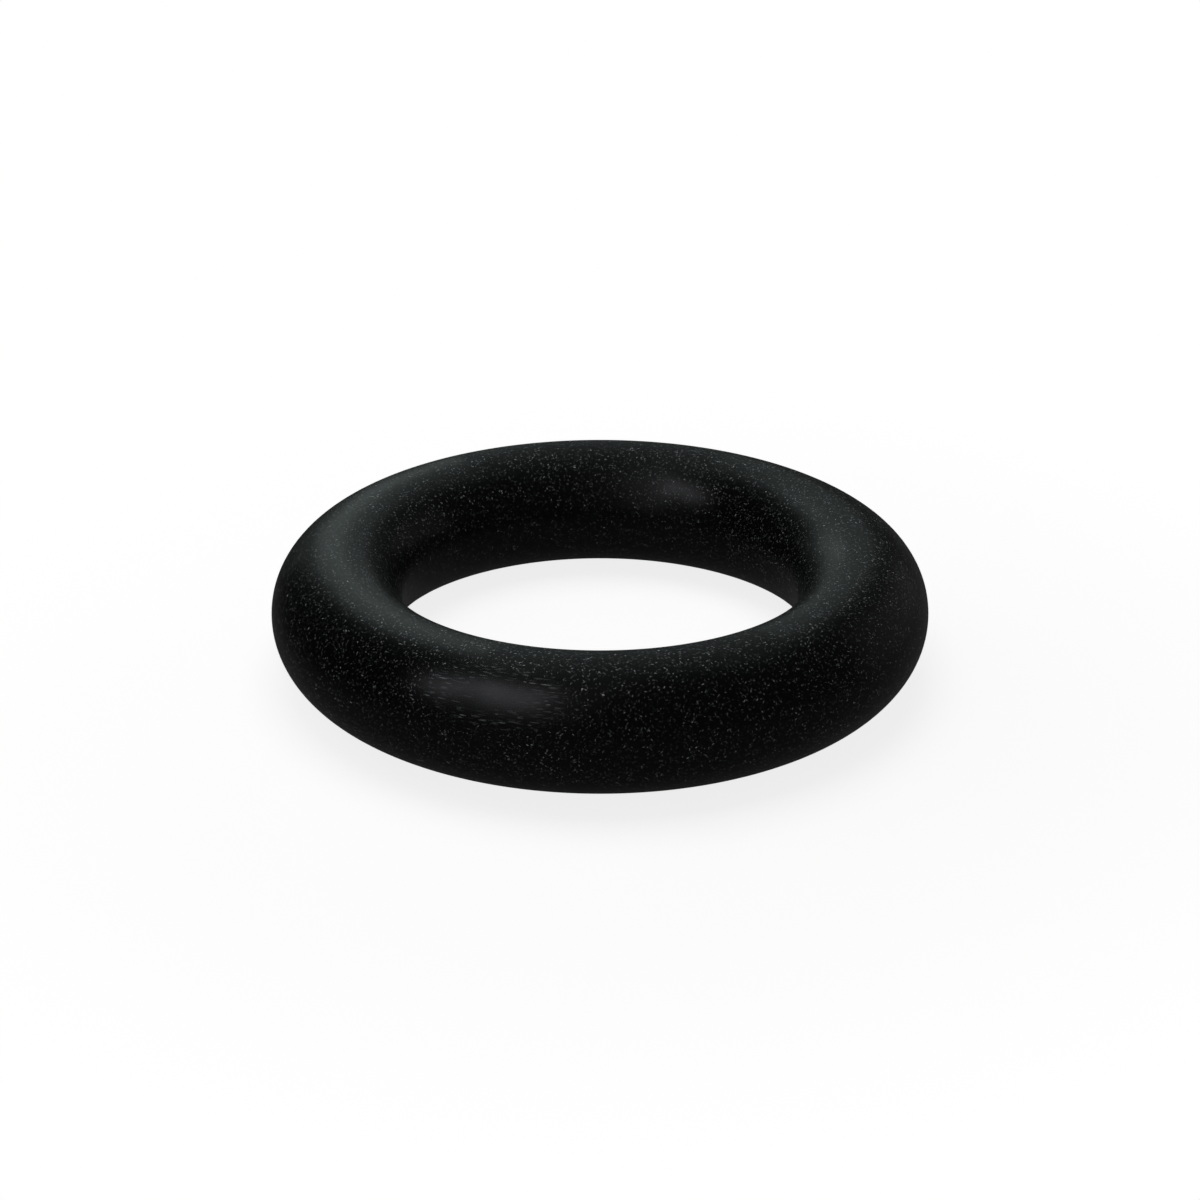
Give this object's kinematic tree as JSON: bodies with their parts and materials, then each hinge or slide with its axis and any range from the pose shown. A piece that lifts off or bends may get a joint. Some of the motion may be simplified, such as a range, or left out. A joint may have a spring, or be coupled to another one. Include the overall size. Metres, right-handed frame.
{
  "type": "rubber o-ring",
  "caption": "Moulded rubber o-ring of round section, a static seal squeezed in the groove between a shaft or spigot and its housing.",
  "frame": {"origin": "centre of the ring, on its axis and midway up its section", "axes": "+Z along the ring's axis, up from the surface that it lies flat on; X and Y in the ring's plane"},
  "size_m": [0.0178, 0.0178, 0.0036],
  "materials": {
    "rubber": "satin black moulded rubber with fine pale specks"
  },
  "bodies": {
    "root": {"o_ring": "rubber"}
  },
  "joints": []
}
